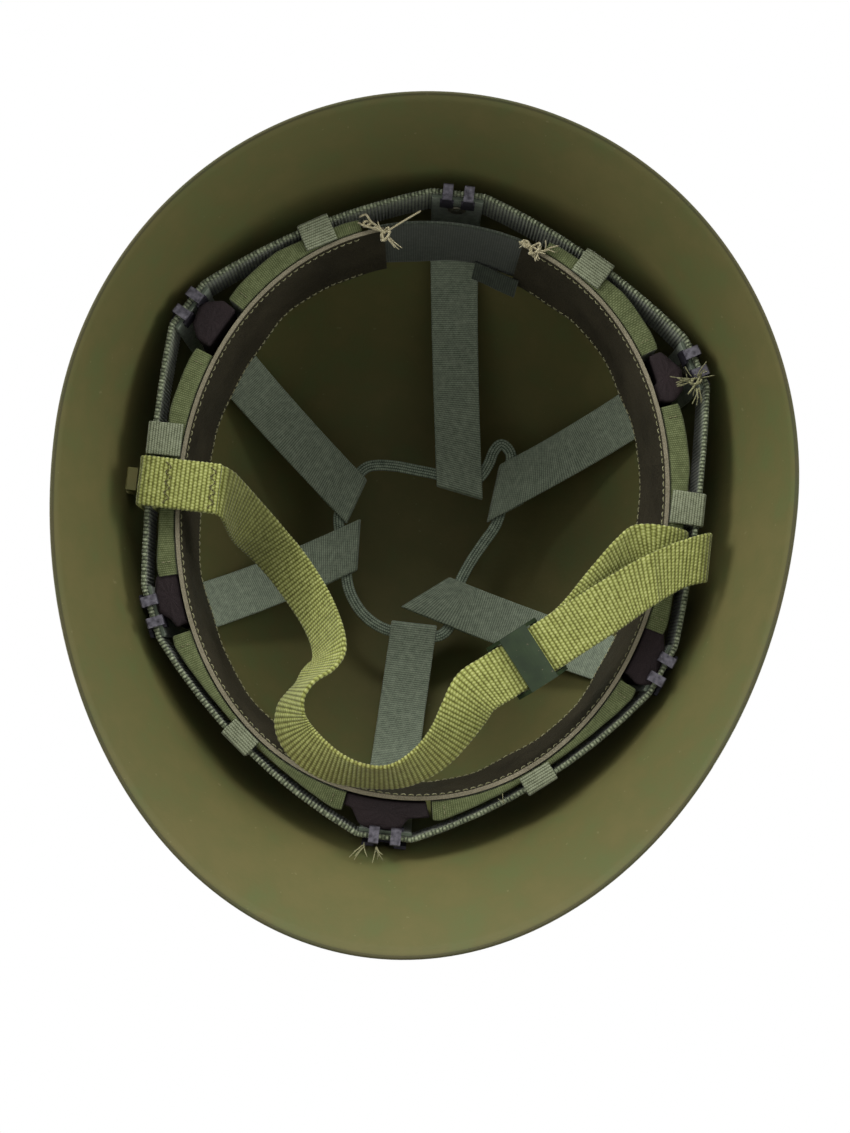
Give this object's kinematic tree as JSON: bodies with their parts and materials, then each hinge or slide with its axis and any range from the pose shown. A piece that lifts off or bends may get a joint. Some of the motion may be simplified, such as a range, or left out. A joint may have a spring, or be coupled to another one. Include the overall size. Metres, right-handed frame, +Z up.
{
  "type": "steel combat helmet",
  "caption": "Steel helmet with flared brim, webbing band in steel hooks, crown straps on a drawcord, leather sweatband and sliding chin strap.",
  "frame": {"origin": "centre of the rim's bounding rectangle, on the plane of the brim's edge", "axes": "+Z up through the crown, -Y to the front of the wearer's head, +X to the wearer's left"},
  "size_m": [0.25, 0.292, 0.165],
  "materials": {
    "olive_paint": "satin, slightly rough",
    "dark_steel": "dark, worn bright at the prongs",
    "eyelet_steel": "dull",
    "grey_green_webbing": "ribbed webbing",
    "olive_lug_paint": "satin",
    "linen_strap": "woven",
    "brown_leather": "smooth, nearly black",
    "olive_canvas": "plain canvas",
    "dark_pad": "dull",
    "cream_thread": "waxed thread",
    "yellow_green_webbing": "coarse ribbed webbing",
    "green_buckle_paint": "satin"
  },
  "bodies": {
    "helmet": {"shell": "olive_paint", "hook_front": "dark_steel", "hook_front_left": "dark_steel", "hook_rear_left": "dark_steel", "hook_rear": "dark_steel", "hook_rear_right": "dark_steel", "hook_front_right": "dark_steel", "strap_eyelets": "eyelet_steel", "support_band": "grey_green_webbing", "side_lug_left": "olive_lug_paint", "crown_strap_front": "linen_strap", "crown_strap_front_left": "linen_strap", "crown_strap_rear_left": "linen_strap", "crown_strap_rear": "linen_strap", "crown_strap_rear_right": "linen_strap", "crown_strap_front_right": "linen_strap", "crown_drawcord": "linen_strap", "sweatband": "brown_leather", "sleeve_front_left": "olive_canvas", "sleeve_left": "olive_canvas", "sleeve_rear_left": "olive_canvas", "sleeve_rear_right": "olive_canvas", "sleeve_right": "olive_canvas", "sleeve_front_right": "olive_canvas", "spacer_pad_front": "dark_pad", "spacer_pad_front_left": "dark_pad", "spacer_pad_rear_left": "dark_pad", "spacer_pad_rear_right": "dark_pad", "spacer_pad_front_right": "dark_pad", "keeper_front_left": "grey_green_webbing", "keeper_left": "grey_green_webbing", "keeper_rear_left": "grey_green_webbing", "keeper_rear_right": "grey_green_webbing", "keeper_right": "grey_green_webbing", "keeper_front_right": "grey_green_webbing", "rear_tape": "linen_strap", "rear_lacing": "cream_thread", "chin_strap_anchor_left": "yellow_green_webbing", "chin_strap_anchor_right": "yellow_green_webbing"},
    "chin_strap": {"chin_strap": "yellow_green_webbing"},
    "buckle": {"strap_buckle": "green_buckle_paint"}
  },
  "joints": [
    {"name": "chin_strap_swing", "type": "hinge", "parent": "helmet", "child": "chin_strap", "pos_m": [0, -0.003, 0.029], "axis": [1, 0, 0], "range_deg": [0, 165]},
    {"name": "buckle_slide", "type": "slide", "parent": "chin_strap", "child": "buckle", "axis": [-0.7771, 0.6293, 0], "range_m": [-0.008, 0.004]}
  ]
}
